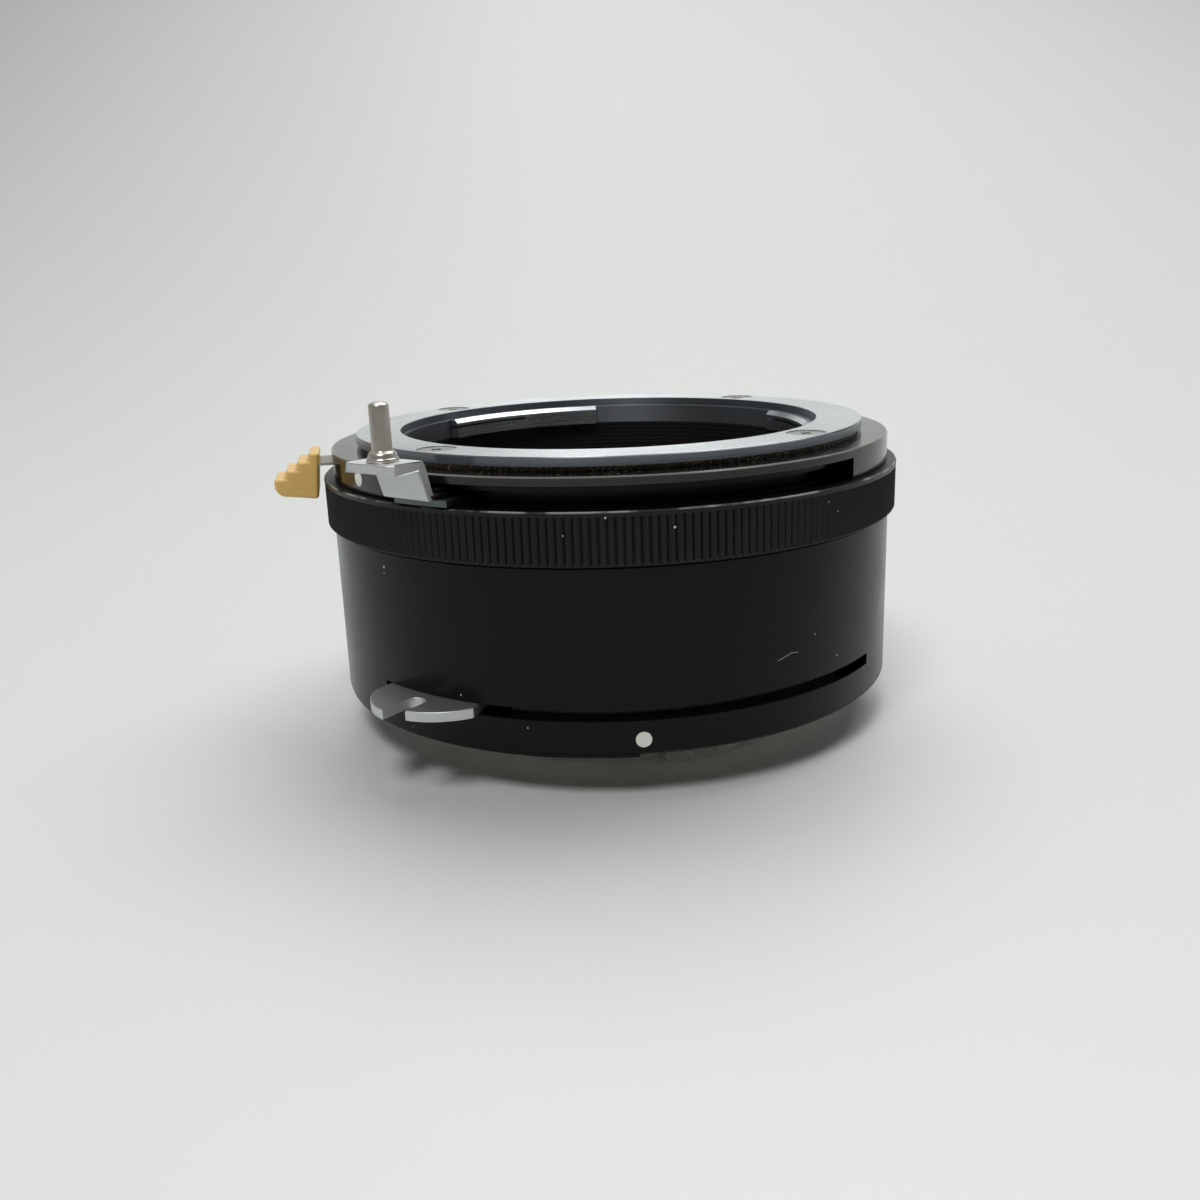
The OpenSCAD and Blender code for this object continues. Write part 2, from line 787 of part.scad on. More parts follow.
// The coil that brings the aperture ring back, drawn at its rest length
module aperture_spring() {
    chord = 2 * spring_mid_r * sin((moving_post_az - fixed_post_az) / 2);
    length = chord - 2 * (post_r + spring_gap);
    middle = (moving_post_az + fixed_post_az) / 2;
    depth = spring_mid_r * cos((moving_post_az - fixed_post_az) / 2);
    color("#9fa1a3")
        rotate([0, 0, middle])
            translate([depth, -length / 2, post_z])
                rotate([-90, 0, 0])
                    coil(spring_coil_r, spring_wire_r, length, floor(length / spring_pitch));
}

// The coil under the lock pin
module lock_spring() {
    color("#9fa1a3")
        rotate([0, 0, release_az])
            translate([lock_pin_reach, 0, lock_spring_z])
                coil(lock_spring_coil_r, lock_spring_wire_r, leaf_z - lock_spring_z, 5);
}

// Meter coupling: turns about the optical axis

// The sleeve, its tab in the window and the notch for the prong
module coupling_sleeve() {
    tab_start = coupling_az - asin(tab_left / collar_r);
    tab_sweep = asin(tab_left / collar_r) + asin(tab_right / collar_r);
    notch_deg = asin(prong_r / sleeve_inner_r) + 0.6;
    color("#8d9088")
        difference() {
            union() {
                band(sleeve_inner_r, sleeve_r, sleeve_z, sleeve_top_z);
                sector(sleeve_inner_r + 0.05, sleeve_r - 0.05, sleeve_top_z - over, tab_z + over / 4,
                       tab_start, tab_sweep);
                sector(sleeve_inner_r, tab_r, tab_z, tab_top_z, tab_start, tab_sweep);
            }
            sector(sleeve_inner_r - over, sleeve_r + over, sleeve_z - over,
                   prong_z + prong_t + seat_gap, prong_az - notch_deg, 2 * notch_deg);
            arm_screw_places()
                translate([0, 0, -tab_t - over])
                    cylinder(r = arm_screw_r + 0.02, h = tab_t + 2 * over, $fn = 32);
            for (side = [-1, 1])
                radial_pin(prong_screw_r + 0.02, sleeve_inner_r - over, sleeve_r + over,
                           prong_az, prong_screw_z(), side * prong_tab_w / 4);
        }
}

function prong_screw_z() = prong_z + prong_tab_h - prong_screw_drop;

// The places of the two screws that hold the arm's foot, on the tab's upper face
module arm_screw_places() {
    for (side = [-1, 1])
        rotate([0, 0, coupling_az])
            translate([arm_screw_reach, arm_screw_mid + side * arm_screw_pitch / 2, tab_top_z])
                children();
}

// The arm: a bent plate whose web stands on the sleeve's tab
module meter_arm() {
    half = arm_w / 2;
    drop = front_seat_z - tab_top_z;
    color("#b4b7b8")
        difference() {
            union() {
                rotate([0, 0, coupling_az])
                    translate([web_face, 0, 0])
                        rotate([90, 0, -90])
                            linear_extrude(web_face - arm_back)
                                polygon([
                                    [half, front_seat_z],
                                    [-half, front_seat_z],
                                    [-half - arm_lean, front_seat_z - drop],
                                    [half - arm_lean, front_seat_z - drop]
                                ]);
                rotate([0, 0, coupling_az])
                    translate([0, 0, front_seat_z - arm_t])
                        linear_extrude(arm_t)
                            polygon([
                                [arm_back + 0.2, -half],
                                [arm_reach, -half],
                                [arm_reach, half - arm_corner],
                                [arm_reach - arm_corner, half],
                                [arm_back + 0.2, half]
                            ]);
                rotate([0, 0, coupling_az])
                    translate([foot_back, arm_lean - half, tab_top_z])
                        cube([web_face - over - foot_back, arm_w, foot_t]);
            }
            arm_screw_places()
                translate([0, 0, -over])
                    cylinder(r = arm_screw_r + 0.02, h = foot_t + 2 * over, $fn = 32);
        }
}

module arm_screws() {
    color("#aeb0b2")
        arm_screw_places() {
            translate([0, 0, -tab_t])
                cylinder(r = arm_screw_r, h = tab_t + foot_t + arm_screw_head_t / 2, $fn = 32);
            translate([0, 0, foot_t])
                cylinder(r = arm_screw_head_r, h = arm_screw_head_t, $fn = 32);
        }
}

// The pin that the lens's own prong takes hold of
module meter_pin() {
    dome = 0.35;
    color("#a9a9a4")
        rotate([0, 0, coupling_az])
            translate([pin_reach, 0, front_seat_z])
                rotate_extrude($fn = 64)
                    polygon([
                        [0, 0],
                        [pin_collar_r - 0.15, 0],
                        [pin_collar_r, 0.2],
                        [pin_collar_r - 0.1, pin_collar_h * 0.6],
                        [pin_r + 0.15, pin_collar_h],
                        [pin_r, pin_collar_h],
                        [pin_r, pin_h - dome],
                        [pin_r - dome, pin_h],
                        [0, pin_h]
                    ]);
}

// How far the prong's straight cut lies from its middle line, at a distance from the axis
function prong_cut_v(reach) = prong_cut + (reach - barrel_r) * tan(prong_cut_deg);

// The prong's outline: a long round side, and an ear whose outline is set further out
module prong_outline() {
    intersection() {
        translate([prong_reach, -prong_aside])
            circle(r = prong_r);
        polygon([
            [prong_root, 0],
            [2 * pin_reach, 0],
            [2 * pin_reach, prong_cut_v(2 * pin_reach)],
            [prong_root, prong_cut_v(prong_root)]
        ]);
    }
    intersection() {
        translate([ear_reach, 0])
            circle(r = ear_r);
        translate([0, -prong_side])
            square([2 * pin_reach, prong_side + fork_w / 4]);
    }
    translate([sleeve_inner_r - over, -prong_side])
        square([ear_reach - sleeve_inner_r + 2 * over, prong_side + fork_w / 4]);
}

// The forked prong that reaches out of the barrel's slot
module coupling_prong() {
    color("#b4b7b8")
        difference() {
            union() {
                intersection() {
                    rotate([0, 0, prong_az])
                        translate([0, 0, prong_z])
                            linear_extrude(prong_t)
                                prong_outline();
                    band(sleeve_inner_r - 0.3, 2 * prong_reach, prong_z - over,
                         prong_z + prong_t + over);
                }
                intersection() {
                    rotate([0, 0, prong_az])
                        translate([0, -prong_tab_w / 2, prong_z])
                            cube([sleeve_r, prong_tab_w, prong_tab_h]);
                    band(sleeve_inner_r - seat_gap - prong_tab_t, sleeve_inner_r - seat_gap,
                         prong_z - over, prong_z + prong_tab_h + over);
                }
            }
            rotate([0, 0, prong_az])
                translate([0, 0, prong_z - over]) {
                    translate([fork_floor + fork_w / 2, 0, 0])
                        cylinder(r = fork_w / 2, h = prong_t + 2 * over, $fn = 48);
                    translate([fork_floor + fork_w / 2, -fork_w / 2, 0])
                        cube([prong_r, fork_w, prong_t + 2 * over]);
                }
            for (side = [-1, 1])
                radial_pin(prong_screw_r + 0.02, sleeve_inner_r - prong_tab_t - over, sleeve_r,
                           prong_az, prong_screw_z(), side * prong_tab_w / 4);
        }
}

module prong_screws() {
    color("#aeb0b2")
        for (side = [-1, 1]) {
            head = sleeve_inner_r - seat_gap - prong_tab_t - 0.4;
            radial_pin(prong_screw_head_r, head, head + prong_screw_head_t, prong_az,
                       prong_screw_z(), side * prong_tab_w / 4);
            radial_pin(prong_screw_r, head + prong_screw_head_t / 2, sleeve_r - 0.1, prong_az,
                       prong_screw_z(), side * prong_tab_w / 4);
        }
}

// Aperture coupling: turns about the optical axis, inside the tube

module aperture_ring() {
    color("#a58a54")
        difference() {
            band(aperture_inner_r, aperture_outer_r, aperture_z, aperture_top_z);
            lever_rivet_places(0.02);
            radial_pin(post_r + 0.02, aperture_inner_r - over, aperture_outer_r + over,
                       moving_post_az, post_z);
        }
}

module lever_rivet_places(gap) {
    for (az = [front_lever_az, rear_lever_az])
        for (side = [-1, 1])
            radial_pin(rivet_r + gap, lever_inner_r + 0.05 - gap, aperture_outer_r - 0.1 + gap,
                       az, post_z, side * rivet_pitch / 2);
}

// One lever: an upright strip, and the pad that is riveted to the ring
module lever(az, low, high) {
    difference() {
        union() {
            sector(lever_inner_r, lever_outer_r, low, high, az - lever_half_deg,
                   2 * lever_half_deg);
            sector(lever_outer_r - 0.1, pad_r, pad_z, pad_z + pad_h, az - lever_half_deg,
                   2 * lever_half_deg);
        }
        lever_rivet_places(0.02);
    }
}

module front_lever() {
    color("#b9bbbd")
        lever(front_lever_az, pad_z, front_seat_z - front_lever_depth);
}

module rear_lever() {
    color("#b9bbbd")
        lever(rear_lever_az, rear_lever_gap, pad_z + pad_h);
}

module lever_rivets() {
    color("#8f9194")
        lever_rivet_places(0);
}

module moving_spring_post() {
    color("#b9bbbd")
        radial_pin(post_r, aperture_inner_r + 0.05, post_reach + 0.7, moving_post_az, post_z);
}

// Lens release: is pressed down, and springs back

// The leaf that joins the knob to the lock pin
module release_leaf() {
    color("#b7b3a6")
        rotate([0, 0, release_az])
            difference() {
                translate([leaf_inner, -release_w / 2 + 0.1, leaf_z])
                    cube([knob_reach + leaf_grip - leaf_inner, release_w - 0.2, leaf_t]);
                translate([lock_pin_reach, 0, leaf_z - over])
                    cylinder(r = lock_tail_r + 0.02, h = leaf_t + 2 * over, $fn = 32);
            }
}

module knob_profile() {
    tread = knob_len / step_count;
    low = knob_top_z - knob_h;
    offset(r = knob_round, $fn = 32)
        offset(r = -2 * knob_round, $fn = 32)
            offset(r = knob_round, $fn = 32)
                polygon(concat(
                    [[knob_draft, low], [knob_len, low + knob_rise]],
                    [
                        for (i = [step_count - 1 : -1 : 0])
                            each [
                                [(i + 1) * tread, knob_top_z - i * step_rise],
                                [i * tread, knob_top_z - i * step_rise]
                            ]
                    ]
                ));
}

// The stepped thumb piece
module release_knob() {
    color("#d9b878")
        rotate([0, 0, release_az])
            difference() {
                translate([knob_reach, release_w / 2, 0])
                    rotate([90, 0, 0])
                        linear_extrude(release_w)
                            knob_profile();
                translate([knob_reach - over, -release_w / 2 + 0.08, leaf_z - 0.02])
                    cube([leaf_grip + over + 0.02, release_w - 0.16, leaf_t + 0.04]);
            }
}

module lock_pin() {
    color("#b9bbbd")
        rotate([0, 0, release_az])
            translate([lock_pin_reach, 0, 0])
                rotate_extrude($fn = 48)
                    polygon([
                        [0, leaf_z - lock_tail_len],
                        [lock_tail_r, leaf_z - lock_tail_len],
                        [lock_tail_r, leaf_top_z],
                        [lock_pin_r, leaf_top_z],
                        [lock_pin_r, front_seat_z + lock_pin_h - 0.15],
                        [lock_pin_r - 0.15, front_seat_z + lock_pin_h],
                        [0, front_seat_z + lock_pin_h]
                    ]);
}

main_barrel();
grip_ring();
front_collar();
front_bayonet();
front_mount_screws();
rear_bayonet();
rear_mount_screws();
baffle_tube();
coupling_retainer();
aperture_retainer();
front_index_dot();
rear_index_dot();
fixed_spring_post();
aperture_spring();
lock_spring();
coupling_sleeve();
meter_arm();
meter_pin();
arm_screws();
coupling_prong();
prong_screws();
aperture_ring();
front_lever();
rear_lever();
lever_rivets();
moving_spring_post();
release_leaf();
release_knob();
lock_pin();
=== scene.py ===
# %% [markdown]
# # Extension ring
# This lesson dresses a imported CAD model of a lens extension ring: a black barrel with a
# knurled grip, a chromed flange with a bayonet, a meter arm with its pin, a forked prong and a
# cream thumb piece. The solids come from the CAD frame. Here they get their finishes, and the
# small pieces whose edges catch the light are made again with rounded edges.

# %% Load the frame
import math

import bmesh
import bpy
from mathutils import Matrix, Vector


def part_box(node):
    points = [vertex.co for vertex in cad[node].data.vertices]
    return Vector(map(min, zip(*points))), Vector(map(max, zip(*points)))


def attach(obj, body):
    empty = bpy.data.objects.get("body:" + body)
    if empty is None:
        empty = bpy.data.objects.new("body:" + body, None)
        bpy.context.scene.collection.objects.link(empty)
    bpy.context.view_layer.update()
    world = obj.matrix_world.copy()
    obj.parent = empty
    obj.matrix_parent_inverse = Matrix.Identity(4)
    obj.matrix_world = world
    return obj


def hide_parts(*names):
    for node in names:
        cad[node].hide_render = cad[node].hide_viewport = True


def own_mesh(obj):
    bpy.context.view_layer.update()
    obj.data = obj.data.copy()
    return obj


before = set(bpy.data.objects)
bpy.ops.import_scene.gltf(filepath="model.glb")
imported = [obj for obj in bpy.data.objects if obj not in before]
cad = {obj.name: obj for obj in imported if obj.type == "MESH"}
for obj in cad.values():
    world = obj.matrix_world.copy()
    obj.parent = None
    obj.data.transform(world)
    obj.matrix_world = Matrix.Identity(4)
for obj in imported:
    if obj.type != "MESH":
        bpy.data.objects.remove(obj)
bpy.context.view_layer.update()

MM = 0.001              # Blender counts in metres
GRAIN = 0.02 * MM       # how deep a fine grain is

# %% [markdown]
# ## Camera
# The photograph was taken from close by, so the ring shows strong perspective. The camera's
# place, turn and lens were fitted to edges of the ring with known sizes. A camera's matrix
# holds its right, up and backward directions, so these are worked out from three angles.

# %% Camera
def camera_at(place_mm, yaw_deg, pitch_deg, roll_deg, lens_mm):
    yaw, pitch, roll = (math.radians(a) for a in (yaw_deg, pitch_deg, roll_deg))
    level = Vector((math.cos(yaw), math.sin(yaw), 0))
    ahead = math.cos(pitch) * Vector((-math.sin(yaw), math.cos(yaw), 0)) - Vector((0, 0, math.sin(pitch)))
    top = level.cross(ahead)
    right = math.cos(roll) * level + math.sin(roll) * top
    up = -math.sin(roll) * level + math.cos(roll) * top
    data = bpy.data.cameras.new("photo_camera")
    data.sensor_fit, data.sensor_width, data.lens = "HORIZONTAL", 36, lens_mm
    data.clip_start, data.clip_end = 0.005, 20
    made = bpy.data.objects.new("photo_camera", data)
    turn = Matrix((right, up, -ahead)).transposed().to_4x4()
    made.matrix_world = Matrix.Translation(Vector(place_mm) * MM) @ turn
    bpy.context.collection.objects.link(made)
    return made


scene = bpy.context.scene
scene.camera = camera_at(place_mm=(0, -133.685, 48.708), yaw_deg=0.694, pitch_deg=15.542,
                         roll_deg=-2.011, lens_mm=34.82)
scene.view_settings.view_transform = "Standard"
print("camera at", [round(v, 4) for v in scene.camera.location])

# %% [markdown]
# ## Colour and node helpers
# Colours are written as hex values, as a picture editor shows them. Blender works with linear
# light, so one function converts them. plug() sets a node's inputs: a number or colour is
# written into the socket, and the output of another node is linked to it. add() makes a node
# with its settings and inputs. Some sockets go by number: 1 to 4 of a Map Range are the two
# ends that it reads and the two that it gives, and 6 and 7 of a Mix are its two colours.
#
# region() says where on the surface something lies. Each stretch is a value with a start and
# an end: the share rises from 0 to 1 between them, and a start above the end turns it round.

# %% Helpers for materials
def linear(hex_colour, alpha=1.0):
    parts = [int(hex_colour[i:i + 2], 16) / 255 for i in (1, 3, 5)]
    return [p / 12.92 if p <= 0.04045 else ((p + 0.055) / 1.055) ** 2.4 for p in parts] + [alpha]


def plug(tree, node, inputs):
    for name, value in inputs.items():
        if isinstance(value, bpy.types.NodeSocket):
            tree.links.new(value, node.inputs[name])
        else:
            node.inputs[name].default_value = value


def add(tree, kind, inputs=None, **settings):
    made = tree.nodes.new("ShaderNode" + kind)
    for name, value in settings.items():
        setattr(made, name, value)
    plug(tree, made, inputs or {})
    return made


def region(tree, *stretches):
    share = 1.0
    for value, start, end in stretches:
        inside = add(tree, "MapRange", {0: value, 1: start, 2: end, 3: 0.0, 4: 1.0}).outputs[0]
        share = add(tree, "Math", {0: inside, 1: share}, operation="MULTIPLY").outputs[0]
    return share


def new_material(name):
    made = bpy.data.materials.new(name)
    made.use_nodes = True
    tree = made.node_tree
    shader = tree.nodes["Principled BSDF"]
    return made, tree, shader


def dress(material, *names):
    for name in names:
        part = cad[name]
        if not part.material_slots:
            part.data.materials.append(material)
        for place in part.material_slots:
            place.material = material
    print(material.name, "->", ", ".join(names))


# %% [markdown]
# ## Turned surfaces
# Most of this ring was made on a lathe, which leaves fine rings round the axis. The pattern
# needs the distance from the axis, the height and the angle. Noise that is stretched along the
# angle gives rings and arcs, and the feed of the tool gives their spacing. In the materials
# below, distance and height are in metres.

# %% Coordinates round the axis
def lathe_coordinates(tree):
    place = add(tree, "TexCoord").outputs["Object"]
    split = add(tree, "SeparateXYZ", {"Vector": place}).outputs
    flat = add(tree, "CombineXYZ", {"X": split["X"], "Y": split["Y"]}).outputs[0]
    reach = add(tree, "VectorMath", {0: flat}, operation="LENGTH").outputs["Value"]
    return place, reach, split["Z"]


def tool_rings(tree, place, reach, height, feed_mm, along_deg, detail):
    split = add(tree, "SeparateXYZ", {"Vector": place}).outputs
    angle = add(tree, "Math", {0: split["Y"], 1: split["X"]}, operation="ARCTAN2").outputs[0]
    feed, along = 1 / (feed_mm * MM), math.degrees(1) / along_deg
    u, v, w = (add(tree, "Math", {0: value, 1: scale}, operation="MULTIPLY").outputs[0]
               for value, scale in ((reach, feed), (angle, along), (height, feed)))
    vector = add(tree, "CombineXYZ", {"X": u, "Y": v, "Z": w}).outputs[0]
    return add(tree, "TexNoise", {"Vector": vector, "Scale": 1.0, "Detail": detail}).outputs["Fac"]


# %% [markdown]
# ## Black anodised aluminium
# The barrel is turned aluminium, etched and dyed black in an anodising bath. The dyed oxide is
# clear on top, so it is not a bare metal to the eye: near black, with a soft grey sheen where
# the surface turns away. Tool rings of 0.15 mm show as a faint silk.

# %% Anodised barrel
def anodised_barrel():
    material, tree, shader = new_material("black_anodised_aluminium")
    place, reach, height = lathe_coordinates(tree)
    silk = tool_rings(tree, place, reach, height, feed_mm=0.15, along_deg=40, detail=2.0)
    cloud = add(tree, "TexNoise", {"Vector": place, "Scale": 90.0, "Detail": 4.0}).outputs["Fac"]
    dyed, sheen = linear("#050606"), linear("#090a0b")
    tone = add(tree, "Mix", {0: cloud, 6: dyed, 7: sheen}, data_type="RGBA").outputs[2]
    rough = add(tree, "MapRange", {0: cloud, 1: 0.3, 2: 0.7, 3: 0.21, 4: 0.33}).outputs[0]
    bump = add(tree, "Bump", {"Height": silk, "Strength": 0.08, "Distance": GRAIN}).outputs[0]
    plug(tree, shader, {"Base Color": tone, "Roughness": rough, "Normal": bump,
                        "IOR": 1.5, "Specular IOR Level": 0.17})
    return material


dress(anodised_barrel(), "main_barrel")

# %% [markdown]
# ## Knurled grip
# The grip has the same black finish. Its straight teeth were pressed or cut, and their crowns
# rub in the hand, so they are a shade paler than the grooves. The distance from the axis
# tells crown from groove. Along the upper edge, spots of pale metal colour are a painted
# highlight: they stand in for glints of light on the teeth.

# %% Grip
def knurl_finish():
    material, tree, shader = new_material("black_anodised_knurl")
    place, reach, height = lathe_coordinates(tree)
    grit = add(tree, "TexNoise", {"Vector": place, "Scale": 2500.0, "Detail": 3.0}).outputs["Fac"]
    glint_breakup = add(tree, "TexNoise", {"Vector": place, "Scale": 260.0, "Detail": 3.0}).outputs["Fac"]
    crown = region(tree, (reach, 0.03195, 0.03216))
    worn = add(tree, "Math", {0: crown, 1: grit}, operation="MULTIPLY").outputs[0]
    # Painted highlight: spots of pale metal colour along the top edge stand in for glints on the teeth
    painted_glints = region(tree, (height, 0.02842, 0.02852), (reach, 0.03195, 0.03208), (glint_breakup, 0.44, 0.56))
    dyed, rubbed, metal = linear("#070708"), linear("#151517"), linear("#8d8e90")
    teeth = add(tree, "Mix", {0: worn, 6: dyed, 7: rubbed}, data_type="RGBA").outputs[2]
    tone = add(tree, "Mix", {0: painted_glints, 6: teeth, 7: metal}, data_type="RGBA").outputs[2]
    bump = add(tree, "Bump", {"Height": grit, "Strength": 0.15, "Distance": GRAIN}).outputs[0]
    plug(tree, shader, {"Base Color": tone, "Normal": bump, "Roughness": 0.35,
                        "IOR": 1.5, "Specular IOR Level": 0.28})
    return material


dress(knurl_finish(), "grip_ring")

# %% [markdown]
# ## Gloss black enamel
# The front collar shines more than the barrel: it is baked black enamel, smooth as glass. A thin
# bright line along its outer rim is a painted highlight, for light on a rounded edge, and small chips
# beside it show the metal.

# %% Collar
def gloss_enamel():
    material, tree, shader = new_material("gloss_black_enamel")
    place, reach, height = lathe_coordinates(tree)
    grain = add(tree, "TexNoise", {"Vector": place, "Scale": 1800.0, "Detail": 4.0}).outputs["Fac"]
    chips = region(tree, (height, 0.03138, 0.0316), (grain, 0.66, 0.7))
    # Painted highlight: a thin band of metal colour along the rim, in place of light on a rounded edge
    rim_highlight = region(tree, (height, 0.03138, 0.0316), (reach, 0.03098, 0.03102), (reach, 0.03118, 0.03115))
    # The chips are worn enamel; the same metal colour fills them and the painted highlight
    worn = add(tree, "Math", {0: chips, 1: rim_highlight}, operation="MAXIMUM").outputs[0]
    enamel, metal = linear("#08080a"), linear("#8b8780")
    tone = add(tree, "Mix", {0: worn, 6: enamel, 7: metal}, data_type="RGBA").outputs[2]
    rough = add(tree, "MapRange", {0: grain, 1: 0.2, 2: 0.8, 3: 0.1, 4: 0.2}).outputs[0]
    plug(tree, shader, {"Base Color": tone, "Roughness": rough, "IOR": 1.52, "Specular IOR Level": 0.5})
    return material


dress(gloss_enamel(), "front_collar")

# %% [markdown]
# ## Satin chrome on brass
# The flanges are turned brass under a hard chrome plate. The seat is rubbed by every lens, so
# it is bright, with fine arcs round the axis. Under the flange's edge lies old dirt, brown
# and grainy, where no cloth reaches. Its crumbs are painted near white, a painted glint that
# stands in for light on specks in the flange's shade. Height and distance from the axis say where that
# is.

# %% Where the chrome is dull or dirty
def chrome_regions(tree, reach, height):
    # Dirt lies between 30.5 and 32.05 mm up, outside a radius of 27.6 mm
    dirt = region(tree, (height, 0.03208, 0.03203), (reach, 0.0274, 0.0278), (height, 0.0300, 0.0305))
    # The throat's wall, 23.05 to 23.55 mm out, is blasted and rougher than the seat and the lugs, and a
    # darker grey
    throat = region(tree, (reach, 0.0236, 0.02352), (reach, 0.02300, 0.02308), (height, 0.03297, 0.03290))
    # The wall under the rim, outside a radius of 28.3 mm, is a darker grey too
    rim = region(tree, (reach, 0.02827, 0.02834))
    # So are the lugs' inner faces, 22.1 mm out, below their bright bevel, but less so
    face = region(tree, (reach, 0.02228, 0.02218), (height, 0.03176, 0.03168))
    face = add(tree, "Math", {0: face, 1: 0.45}, operation="MULTIPLY").outputs[0]
    darker_parts = add(tree, "Math", {0: throat, 1: rim}, operation="MAXIMUM").outputs[0]
    darker_parts = add(tree, "Math", {0: darker_parts, 1: face}, operation="MAXIMUM").outputs[0]
    return dirt, throat, darker_parts


# %% Old dirt with painted glints
def dirt_and_glint_colour(tree, grit, patch):
    grains = add(tree, "ValToRGB", {0: grit})
    glinting_crumb, gap = grains.color_ramp.elements
    # Painted glints: the dirt's crumbs are near white, standing in for light on specks in the flange's
    # shade
    glinting_crumb.position, glinting_crumb.color = 0.2, linear("#fff0cc")
    gap.position, gap.color = 0.42, linear("#5e513b")
    share = region(tree, (patch, 0.3, 0.5))
    return add(tree, "Mix", {0: share, 6: linear("#6b5d44"), 7: grains.outputs["Color"]},
               data_type="RGBA").outputs[2]


# %% Chromed flange
def satin_chrome():
    material, tree, shader = new_material("satin_chrome_on_brass")
    place, reach, height = lathe_coordinates(tree)
    arcs = tool_rings(tree, place, reach, height, feed_mm=0.05, along_deg=30, detail=3.0)
    smear = add(tree, "TexNoise", {"Vector": place, "Scale": 120.0, "Detail": 3.0}).outputs["Fac"]
    grit = add(tree, "TexVoronoi", {"Vector": place, "Scale": 3600.0}).outputs["Distance"]
    patch = add(tree, "TexNoise", {"Vector": place, "Scale": 420.0, "Detail": 3.0}).outputs["Fac"]
    dirt, throat, darker_parts = chrome_regions(tree, reach, height)
    hazy, bright, darker_grey = linear("#d3d8dd"), linear("#eaeef1"), linear("#797d83")
    seat = add(tree, "Mix", {0: smear, 6: hazy, 7: bright}, data_type="RGBA").outputs[2]
    # The throat's wall, the wall under the rim and the lugs' inner faces get a darker grey
    plate = add(tree, "Mix", {0: darker_parts, 6: seat, 7: darker_grey}, data_type="RGBA").outputs[2]
    dirt_with_glints = dirt_and_glint_colour(tree, grit, patch)
    tone = add(tree, "Mix", {0: dirt, 6: plate, 7: dirt_with_glints}, data_type="RGBA").outputs[2]
    metal = add(tree, "Math", {0: 1.0, 1: dirt}, operation="SUBTRACT").outputs[0]
    clean = add(tree, "MapRange", {0: arcs, 1: 0.3, 2: 0.7, 3: 0.22, 4: 0.34}).outputs[0]
    blasted = add(tree, "Mix", {0: throat, 2: clean, 3: 0.42}, data_type="FLOAT").outputs[0]
    rough = add(tree, "Mix", {0: dirt, 2: blasted, 3: 0.6}, data_type="FLOAT").outputs[0]
    shallow = add(tree, "Math", {0: arcs, 1: 0.25}, operation="MULTIPLY").outputs[0]
    relief = add(tree, "Mix", {0: dirt, 2: shallow, 3: grit}, data_type="FLOAT").outputs[0]
    bump = add(tree, "Bump", {"Height": relief, "Strength": 0.2, "Distance": GRAIN}).outputs[0]
    round_axis = add(tree, "Tangent", direction_type="RADIAL", axis="Z").outputs[0]
    plug(tree, shader, {"Base Color": tone, "Metallic": metal, "Roughness": rough, "Normal": bump,
                        "Tangent": round_axis, "Anisotropic": 0.7, "Anisotropic Rotation": 0.25})
    return material


dress(satin_chrome(), "front_bayonet")

# %% [markdown]
# ## Plain metals
# The small pieces are steel, nickelled or plated steel and brass. They differ in tint, in
# roughness and in the size and depth of their grain, so one function makes them all.
#
# Nickelled screws are grey and fairly smooth. The pin's dull nickel is warmer, with hardly any
# grain. The plated arm and prong were tumbled, which leaves a pale satin. Oiled steel is nearly
# black. The spigot's old nickel is pale and plain, the brass is yellow where it is bare, and a
# conversion coat makes the sleeve a flat grey green.

# %% Plain metals
def plain_metal(name, dark, pale, roughness, grain_mm, grain_depth=0.15):
    material, tree, shader = new_material(name)
    place = add(tree, "TexCoord").outputs["Object"]
    scale = 1 / (grain_mm * MM)
    grain = add(tree, "TexNoise", {"Vector": place, "Scale": scale, "Detail": 3.0}).outputs["Fac"]
    cloud = add(tree, "TexNoise", {"Vector": place, "Scale": 400.0, "Detail": 2.0}).outputs["Fac"]
    tone = add(tree, "Mix", {0: cloud, 6: linear(dark), 7: linear(pale)}, data_type="RGBA").outputs[2]
    rough = add(tree, "MapRange", {0: grain, 1: 0.3, 2: 0.7, 3: roughness - 0.06,
                                   4: roughness + 0.08}).outputs[0]
    bump = add(tree, "Bump", {"Height": grain, "Strength": grain_depth, "Distance": GRAIN}).outputs[0]
    plug(tree, shader, {"Base Color": tone, "Roughness": rough, "Normal": bump, "Metallic": 1.0})
    return material


screw_steel = plain_metal("nickelled_screw_steel", "#8d8c8a", "#b3b2b0", roughness=0.28, grain_mm=0.2)
pin_steel = plain_metal("dull_nickel_pin", "#c4beb2", "#d8d2c8",
                        roughness=0.29, grain_mm=2.0, grain_depth=0.01)
arm_plate = plain_metal("satin_plated_steel", "#c9cbcc", "#dee0e0",
                        roughness=0.45, grain_mm=0.12, grain_depth=0.1)
oiled_steel = plain_metal("dark_oiled_steel", "#24221e", "#3d3a34", roughness=0.5, grain_mm=0.2)
spigot_nickel = plain_metal("dull_nickel_on_brass", "#e6e4de", "#f3f2ee",
                            roughness=0.3, grain_mm=0.3, grain_depth=0.04)
turned_brass = plain_metal("turned_brass", "#a3864a", "#bfa163", roughness=0.3, grain_mm=0.3)
spring_steel = plain_metal("spring_steel", "#8f897c", "#a8a294", roughness=0.3, grain_mm=0.2)
sleeve_metal = plain_metal("grey_green_conversion_coat", "#59605c", "#737b76",
                           roughness=0.42, grain_mm=0.2)
dress(spigot_nickel, "rear_bayonet")
dress(oiled_steel, "arm_screws")
dress(screw_steel, "front_mount_screws", "rear_mount_screws", "prong_screws",
      "lever_rivets", "coupling_retainer", "fixed_spring_post", "moving_spring_post",
      "front_lever", "rear_lever", "lock_pin")
dress(arm_plate, "meter_arm", "coupling_prong")
dress(pin_steel, "meter_pin")
dress(turned_brass, "aperture_ring")
